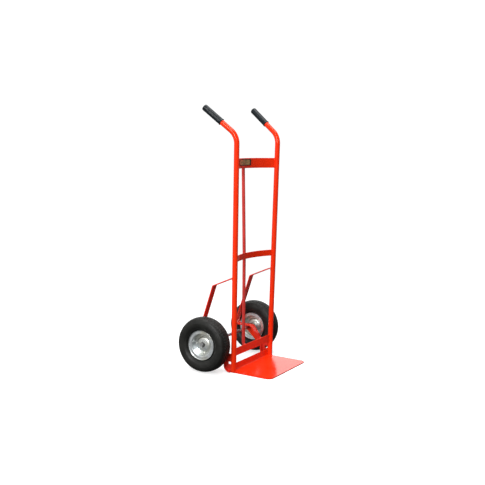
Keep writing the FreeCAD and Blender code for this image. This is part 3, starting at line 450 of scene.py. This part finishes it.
def rounded(corners, radii):
    """Points of a flat path (back, up) whose corners are turned into arcs."""
    points = [Vector(corners[0])]
    for before, corner, after, radius in zip(corners, corners[1:], corners[2:], radii):
        corner = Vector(corner)
        inward = (Vector(before) - corner).normalized()
        onward = (Vector(after) - corner).normalized()
        half = inward.angle(onward) / 2
        centre = corner + (inward + onward).normalized() * (radius / math.sin(half))
        first = corner + inward * (radius / math.tan(half)) - centre
        turn = first.angle_signed(corner + onward * (radius / math.tan(half)) - centre)
        for k in range(33):
            angle = -turn * k / 32
            points.append(centre + Vector((first.x * math.cos(angle) - first.y * math.sin(angle),
                                           first.x * math.sin(angle) + first.y * math.cos(angle))))
    points.append(Vector(corners[-1]))
    return points


def make_tube(name, node, path, radius, wall, place, look="red_paint"):
    """Round tube with an open bore along a flat path, in place of a CAD node."""
    sides = 72
    stations = []
    for k, point in enumerate(path):
        run = path[min(k + 1, len(path) - 1)] - path[max(k - 1, 0)]
        stations.append((point, Vector((-run.y, run.x)).normalized()))
    rings = [(station, radius) for station in stations]
    rings += [(station, radius - wall) for station in reversed(stations)]
    vertices = []
    for (point, out), size in rings:
        for k in range(sides):
            angle = 2 * math.pi * k / sides
            flat = point + out * (size * math.cos(angle))
            vertices.append(tuple(place @ Vector((size * math.sin(angle), flat.x, flat.y))))
    piece = new_piece(name, vertices, grid_faces(len(rings), sides), LOOKS[look], "frame")
    count = len(stations)
    for edge in piece.data.edges:
        rows = sorted(index // sides for index in edge.vertices)
        if rows[0] == rows[1] and rows[0] in (0, count - 1, count, 2 * count - 1):
            edge.use_edge_sharp = True
    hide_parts(node)


def make_rail(side_name, side):
    """A rail and its handle: one tube with one bend."""
    corner = (0, RAIL_CORNER)
    end = (RAIL_END * math.sin(HANDLE_ANGLE), RAIL_CORNER + RAIL_END * math.cos(HANDLE_ANGLE))
    make_tube(f"{side_name}_rail_tube", f"{side_name}_rail", rounded([(0, 0), corner, end], [RAIL_BEND]),
              RAIL_RADIUS, RAIL_WALL, rail_matrix(side))


def make_centre_bar():
    """The tube up the middle, turned in at its foot. Its paint is a darker, pinker copy of the red paint: painted
    shade.
    """
    path = rounded([(y * MM, z * MM) for y, z in CENTRE_PATH], [r * MM for r in CENTRE_BENDS])
    make_tube("centre_bar_tube", "centre_bar", path, CENTRE_RADIUS, RAIL_WALL, Matrix.Identity(4),
              "shaded_red_paint")


# -------------------------------------------------------------------- grips
def grip_matrix(side):
    """The grip's own frame: Z runs from its mouth to its closed end."""
    start = Vector((0, GRIP_START * math.sin(HANDLE_ANGLE),
                    RAIL_CORNER + GRIP_START * math.cos(HANDLE_ANGLE)))
    turn = Quaternion((1, 0, 0), -HANDLE_ANGLE)
    return rail_matrix(side) @ Matrix.Translation(start) @ turn.to_matrix().to_4x4()


def make_grip(side_name, side):
    """Ribbed sleeve, in mm: flange, flutes along its length, rings at the end."""
    outer = 15.2
    bore = 12.6
    length = GRIP_LENGTH / MM
    outline = [
        (bore, 0.4), (bore + 0.6, 0.05), (15.4, 0.05), (16.1, 0.7), (16.1, 3.2), (15.7, 4.2),
        (outer, 5.4), (outer, 9),
    ]
    outline += [(outer, 9 + k * (length - 9 - 17) / 12) for k in range(1, 13)]
    for k in range(3):
        base = length - 16 + k * 3.6
        outline += [(outer, base), (outer + 0.3, base + 0.8), (outer + 0.3, base + 1.8), (outer, base + 2.6)]
    outline += [
        (outer - 0.2, length - 4.2), (outer - 1.0, length - 2.2), (outer - 2.4, length - 0.8),
        (outer - 4.5, length - 0.15), (outer - 8, length - 0.02), (0.4, length - 0.02),
    ]
    around = 192
    ribs = 16
    flute_depth = 0.6
    points = []
    for step in range(around):
        angle = 2 * math.pi * step / around
        flute = (0.5 + 0.5 * math.cos(angle * ribs)) ** 5
        for r, z in outline:
            fade = max(0.0, min(1.0, (z - 8) / 3, (length - 17.5 - z) / 3))
            shrunk = r - flute_depth * flute * fade if r > 14 else r
            points.append(Vector((shrunk * math.cos(angle), shrunk * math.sin(angle), z)) * MM)
    place = grip_matrix(side)
    vertices = [tuple(place @ p) for p in points]
    columns = len(outline)
    faces = grid_faces(around, columns, close_columns=False)
    faces.append(tuple(i * columns + columns - 1 for i in range(around)))
    piece = new_piece(f"{side_name}_grip_sleeve", vertices, faces, LOOKS["grip_rubber"],
                      "frame")
    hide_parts(f"{side_name}_grip")


# ---------------------------------------------------------------- nameplate
BAR_THICKNESS = 0.003
UPPER_BOW = 0.0675
MIDDLE_BOW = 0.05


def rail_offset(z):
    """Distance of a rail's middle line from the centre at a height."""
    return RAIL_FOOT.x + math.tan(RAIL_TAPER) * (z - RAIL_FOOT.z)


def bow_circle(z, bow):
    """Radius and centre (along Y) of a bowed crossbar's middle line."""
    half = RAIL_FOOT.x + math.tan(RAIL_TAPER) * z
    radius = (half * half + bow * bow) / (2 * bow)
    return radius, bow - radius


def curved_panel(name, radius, centre, middle, shift, width, height, corner, depth, material):
    """Thin panel with rounded corners that lies inside a bowed crossbar."""
    columns = 48
    outline = []
    for k in range(columns + 1):
        u = -width / 2 + width * k / columns
        inset = max(0.0, abs(u) - (width / 2 - corner))
        drop = corner - math.sqrt(max(0.0, corner * corner - inset * inset))
        outline.append((u, height / 2 - drop))
    vertices = []
    for r in (radius, radius - depth):
        for sign in (1, -1):
            for u, v in outline:
                angle = (u + shift) / radius
                vertices.append((r * math.sin(angle), centre + r * math.cos(angle), middle + sign * v))
    row = columns + 1
    faces = []
    for k in range(columns):
        top_back, low_back, top_front, low_front = (k + row * i for i in range(4))
        faces.append((top_front, low_front, low_front + 1, top_front + 1))
        faces.append((top_back, top_back + 1, low_back + 1, low_back))
        faces.append((top_back, top_front, top_front + 1, top_back + 1))
        faces.append((low_back, low_back + 1, low_front + 1, low_front))
    for k in (0, columns):
        faces.append(tuple(k + row * i for i in ((0, 1, 3, 2) if k == 0 else (0, 2, 3, 1))))
    return new_piece(name, vertices, faces, material, "frame", smooth=False)


def make_nameplate():
    """Gold plate with a dark border and plain bars in place of a mark."""
    low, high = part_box("nameplate")
    middle = (low[2] + high[2]) / 2
    shift = (low[0] + high[0]) / 2
    width = high[0] - low[0]
    height = high[2] - low[2]
    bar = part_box("upper_crossbar")
    bar_middle = (bar[0][2] + bar[1][2]) / 2
    radius, centre = bow_circle(bar_middle, UPPER_BOW)
    play = 0.0001
    base_depth = 0.0009
    field_depth = 0.0002
    field_shift = shift - 0.004
    back = radius - BAR_THICKNESS / 2 - play
    base = curved_panel("nameplate_base", back, centre, middle, shift, width, height, 0.003, base_depth,
                        PLATE_DARK)
    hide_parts("nameplate")
    face = back - base_depth
    curved_panel("nameplate_field", face, centre, middle, field_shift, width - 0.014, height - 0.007,
                 0.0022, field_depth, LOOKS["brass_plate"])
    field = face - field_depth
    bars = (
        (0.0066, 0.052, 0.0026), (0.0014, 0.066, 0.0011),
        (-0.0018, 0.066, 0.0011), (-0.0070, 0.040, 0.0020),
    )
    for number, (rise, length, thick) in enumerate(bars):
        curved_panel(f"nameplate_bar_{number}", field, centre, middle + rise, field_shift, length, thick,
                     0.0004, 0.0001, PLATE_DARK)


# -------------------------------------------------------------------- welds
class Beads:
    """Weld beads gathered into one mesh: rippled tubes with tapered ends."""

    def __init__(self, name, seed):
        self.name = name
        self.vertices = []
        self.faces = []
        self.random = random.Random(seed)

    def run(self, points, radius):
        """One bead along a line of points."""
        points = [Vector(p) for p in points]
        lengths = [0.0]
        for a, b in zip(points, points[1:]):
            lengths.append(lengths[-1] + (b - a).length)
        total = lengths[-1]
        count = max(8, int(total / 0.0007))
        sides = 10
        first = len(self.vertices)
        phase = self.random.uniform(0, 6.28)
        span = 0
        for step in range(count + 1):
            at = total * step / count
            while span < len(points) - 2 and lengths[span + 1] < at:
                span += 1
            part = (at - lengths[span]) / max(1e-9, lengths[span + 1] - lengths[span])
            here = points[span].lerp(points[span + 1], part)
            along = (points[span + 1] - points[span]).normalized()
            side = along.orthogonal().normalized()
            other = along.cross(side)
            end = min(at, total - at) / (radius * 1.2)
            taper = math.sqrt(min(1.0, max(0.02, end)))
            ripple = 1 + 0.09 * math.sin(at / 0.0021 * 2 * math.pi + phase) + self.random.uniform(-0.04, 0.04)
            size = radius * taper * ripple
            for k in range(sides):
                angle = 2 * math.pi * k / sides
                self.vertices.append(tuple(here + (side * math.cos(angle) + other * math.sin(angle)) * size))
        for step in range(count):
            for k in range(sides):
                a = first + step * sides + k
                b = first + step * sides + (k + 1) % sides
                self.faces.append((a, b, b + sides, a + sides))
        self.faces.append(tuple(first + k for k in reversed(range(sides))))
        self.faces.append(tuple(first + count * sides + k for k in range(sides)))

    def finish(self):
        new_piece(self.name, self.vertices, self.faces, LOOKS["red_paint"], "frame")


def touch_point(z, bow, shift):
    """Where a bowed crossbar's face, shifted outwards, meets the rail's skin."""
    radius, centre = bow_circle(z, bow)
    radius += shift
    rail = rail_offset(z)
    gap = math.hypot(rail, centre)
    along = (RAIL_RADIUS ** 2 - radius ** 2 + gap * gap) / (2 * gap)
    across = math.sqrt(max(0.0, RAIL_RADIUS ** 2 - along * along))
    ux, uy = -rail / gap, centre / gap
    picks = [(rail + ux * along - uy * across * s, uy * along + ux * across * s) for s in (1, -1)]
    return max(picks, key=lambda p: p[1])


def weld_crossbars():
    """Beads where the three crossbars meet the rails."""
    beads = Beads("crossbar_welds", 11)
    for node, bow in (("upper_crossbar", UPPER_BOW), ("middle_crossbar", MIDDLE_BOW)):
        low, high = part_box(node)
        for shift in (BAR_THICKNESS / 2, -BAR_THICKNESS / 2):
            ends = [touch_point(z, bow, shift * 1.5) for z in (low[2], high[2])]
            for _, side in SIDES:
                beads.run([(side * ends[0][0], ends[0][1], low[2] + 0.001),
                           (side * ends[1][0], ends[1][1], high[2] - 0.001)], 0.0021)
    low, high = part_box("lower_crossbar")
    depth = high[1] + 0.0004
    for y in (-depth, depth):
        reach = math.sqrt(RAIL_RADIUS ** 2 - depth ** 2)
        for _, side in SIDES:
            beads.run([(side * (rail_offset(z) - reach), y, z) for z in (low[2] + 0.001, high[2] - 0.001)],
                      0.0022)
    beads.finish()


def weld_centre_bar():
    """Beads where the centre bar lies against the backs of the crossbars."""
    beads = Beads("centre_bar_welds", 12)
    for node in ("upper_crossbar", "middle_crossbar"):
        low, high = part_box(node)
        for side in (-1, 1):
            beads.run([(side * 0.0052, high[1] + 0.0016, low[2] + 0.002),
                       (side * 0.0052, high[1] + 0.0016, high[2] - 0.002)], 0.0020)
    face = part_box("lower_crossbar")[1][1] + 0.0007
    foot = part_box("centre_bar")[0][2] + 0.008
    ring = []
    for k in range(33):
        angle = 2 * math.pi * k / 32
        ring.append((0.0088 * math.cos(angle), face, foot + 0.0088 * math.sin(angle)))
    beads.run(ring, 0.0018)
    beads.finish()


def weld_feet():
    """Beads round the rails' feet and along the front of the strap's feet."""
    beads = Beads("foot_welds", 13)
    plate_top = 0.005
    bead_circle = 0.0134
    for side_name, side in SIDES:
        ring = []
        for k in range(25):
            angle = math.radians(78 + 204 * k / 24)
            ring.append((side * (RAIL_FOOT.x + bead_circle * math.cos(angle)),
                         bead_circle * math.sin(angle), plate_top + 0.0008))
        beads.run(ring, 0.0022)
        low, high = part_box(f"{side_name}_guard_strap")
        inner = min(abs(low[0]), abs(high[0])) + 0.002
        beads.run([(side * inner, 0.0131, 0.0046), (side * 0.1635, 0.0131, 0.0046)], 0.0016)
    beads.finish()


# Lower and upper edge of the gusset's notch, where it has no bead.
GUSSET_NOTCH = (0.038, 0.050)


def weld_straps():
    """Beads at the strap's upper end, the gusset, the bracket and the axle."""
    beads = Beads("strap_welds", 14)
    for side_name, side in SIDES:
        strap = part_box(f"{side_name}_guard_strap")
        top = strap[1][2]
        rail = rail_offset(top)
        for z, lift in ((top - 0.0006, 0.0012), (top - 0.0085, 0.0008)):
            beads.run([(side * (rail + x), math.sqrt(RAIL_RADIUS ** 2 - x * x) + lift, z)
                       for x in (-0.009, -0.006, -0.003, 0.0, 0.003, 0.006, 0.009)], 0.0019)
        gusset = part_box(f"{side_name}_gusset")
        x_low, x_high = gusset[0][0], gusset[1][0]
        for x in (x_low - 0.0002, x_high + 0.0002):
            for low, high in ((gusset[0][2], GUSSET_NOTCH[0]), (GUSSET_NOTCH[1], gusset[1][2])):
                beads.run([(x, gusset[0][1], low + 0.001), (x, gusset[0][1], high - 0.001)], 0.0017)
        axle = AXLE[f"{side_name}_wheel"]
        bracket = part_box(f"{side_name}_axle_bracket")
        inner = min(abs(bracket[0][0]), abs(bracket[1][0]))
        ring = []
        for k in range(33):
            angle = 2 * math.pi * k / 32
            ring.append((side * (inner - 0.0006), axle.y + 0.0090 * math.cos(angle),
                         axle.z + 0.0090 * math.sin(angle)))
        beads.run(ring, 0.0017)
        ceiling = bracket[1][2]
        for x in (inner - 0.0003, inner + 0.0053):
            beads.run([(side * x, axle.y - 0.016, ceiling - 0.0006),
                       (side * x, bracket[1][1] - 0.002, ceiling - 0.0006)], 0.0017)
    beads.finish()


# ------------------------------------------------------------------ staging
def add_floor():
    """Round table, so large that its edge is lost in the background.

    It isn't seen in reflections and throws no light back on the truck."""
    mesh = bpy.data.meshes.new("floor")
    radius = 2.3
    sides = 128
    rim = [(radius * math.cos(2 * math.pi * k / sides), radius * math.sin(2 * math.pi * k / sides), 0)
           for k in range(sides)]
    mesh.from_pydata(rim, [], [tuple(range(sides))])
    floor = bpy.data.objects.new("floor", mesh)
    floor.location.z = -0.0002
    floor.visible_diffuse = False
    floor.visible_glossy = False
    bpy.context.scene.collection.objects.link(floor)
    mesh.materials.append(studio_floor())


def add_softbox(name, place, target, width, height, power):
    """A rectangular lamp that points at its target."""
    light = bpy.data.lights.new(name, "AREA")
    light.shape = "RECTANGLE"
    light.size = width
    light.size_y = height
    light.energy = power
    lamp = bpy.data.objects.new(name, light)
    lamp.location = place
    lamp.rotation_euler = (Vector(target) - Vector(place)).to_track_quat("-Z", "Y").to_euler()
    bpy.context.scene.collection.objects.link(lamp)


def node_math(tree, operation, a, b):
    """Two values put together by one operation."""
    node = tree.nodes.new("ShaderNodeMath")
    node.operation = operation
    tree.links.new(a, node.inputs[0])
    tree.links.new(b, node.inputs[1])
    return node.outputs["Value"]


def add_world():
    """Surroundings that light the truck unevenly, plain white to the eye.

    There are three soft glows: one wide behind the truck, a narrow bright one
    above it, and one off to the left of the camera. Behind the camera and
    below the horizon it is dim."""
    world = bpy.data.worlds.new("studio")
    bpy.context.scene.world = world
    world.use_nodes = True
    tree = world.node_tree
    tree.nodes.clear()
    output = tree.nodes.new("ShaderNodeOutputWorld")
    shade = tree.nodes.new("ShaderNodeBackground")
    plain = tree.nodes.new("ShaderNodeBackground")
    plain.inputs["Color"].default_value = (1, 1, 1, 1)
    plain.inputs["Strength"].default_value = 1.05
    ray = tree.nodes.new("ShaderNodeLightPath")
    choose = tree.nodes.new("ShaderNodeMixShader")
    where = tree.nodes.new("ShaderNodeTexCoord")
    glows = (
        ((0.86, 0.50, 0.08), 0.35, 0.85, 0.22, 1.0),
        ((0.82, 0.48, 0.31), 0.93, 0.985, 0.0, 1.4),
        ((-0.86, 0.50, 0.05), 0.25, 0.90, 0.0, 1.0),
    )
    total = None
    for heading, start, full, low, high in glows:
        toward = tree.nodes.new("ShaderNodeVectorMath")
        toward.operation = "DOT_PRODUCT"
        toward.inputs[1].default_value = heading
        tree.links.new(where.outputs["Generated"], toward.inputs[0])
        glow = map_range(tree, toward.outputs["Value"], start, full, low, high)
        total = node_math(tree, "ADD", total, glow) if total else glow
    height = tree.nodes.new("ShaderNodeSeparateXYZ")
    tree.links.new(where.outputs["Generated"], height.inputs[0])
    horizon = map_range(tree, height.outputs["Z"], -0.12, 0.02, 0.35, 1.0)
    tree.links.new(node_math(tree, "MULTIPLY", total, horizon), shade.inputs["Strength"])
    tree.links.new(ray.outputs["Is Camera Ray"], choose.inputs[0])
    tree.links.new(shade.outputs[0], choose.inputs[1])
    tree.links.new(plain.outputs[0], choose.inputs[2])
    tree.links.new(choose.outputs[0], output.inputs["Surface"])


def add_camera():
    """The camera at the photograph's angle."""
    azimuth = math.radians(-59.68)
    elevation = math.radians(7.68)
    roll = math.radians(1.38)
    back = Vector((math.sin(azimuth) * math.cos(elevation),
                   -math.cos(azimuth) * math.cos(elevation), math.sin(elevation)))
    right = Vector((math.cos(azimuth), math.sin(azimuth), 0))
    up = back.cross(right)
    right, up = (right * math.cos(roll) + up * math.sin(roll),
                 up * math.cos(roll) - right * math.sin(roll))
    data = bpy.data.cameras.new("camera")
    data.sensor_width = 36
    data.lens = 60.96
    data.clip_end = 200
    camera = bpy.data.objects.new("camera", data)
    turn = Matrix((right, up, back)).transposed().to_4x4()
    camera.matrix_world = Matrix.Translation((-3.3798, -1.9051, 1.1174)) @ turn
    bpy.context.scene.collection.objects.link(camera)
    bpy.context.scene.camera = camera


# ----------------------------------------------------------------- assembly
slots = {entry["node"]: entry["material_slot"] for entry in frame["record"]["subparts"]}
for node, piece in NODES.items():
    piece.data.materials.clear()
    # straps and gussets take a darker copy of the red paint: painted shade
    inner = node.endswith(("_guard_strap", "_gusset"))
    piece.data.materials.append(LOOKS["shaded_strap_red_paint" if inner else slots[node]])
for node, width in (("toe_plate", 0.0012), ("lower_crossbar", 0.0008), ("upper_crossbar", 0.0008),
                    ("middle_crossbar", 0.0008), ("left_guard_strap", 0.001),
                    ("right_guard_strap", 0.001), ("left_axle_bracket", 0.0008),
                    ("right_axle_bracket", 0.0008), ("left_gusset", 0.0006),
                    ("right_gusset", 0.0006)):
    smooth_edges(node, width)
for side_name, side in SIDES:
    make_tyre(side_name)
    make_rail(side_name, side)
    make_grip(side_name, side)
make_centre_bar()
make_nameplate()
weld_crossbars()
weld_centre_bar()
weld_feet()
weld_straps()
add_floor()
add_world()
add_softbox("key", (-3.4, -0.7, 2.2), (0, 0, 0.6), 1.6, 1.6, 125)
add_softbox("top", (0.2, -0.3, 4.0), (0.2, -0.3, 0), 2.8, 2.8, 150)
add_camera()
bpy.context.scene.view_settings.view_transform = "Standard"
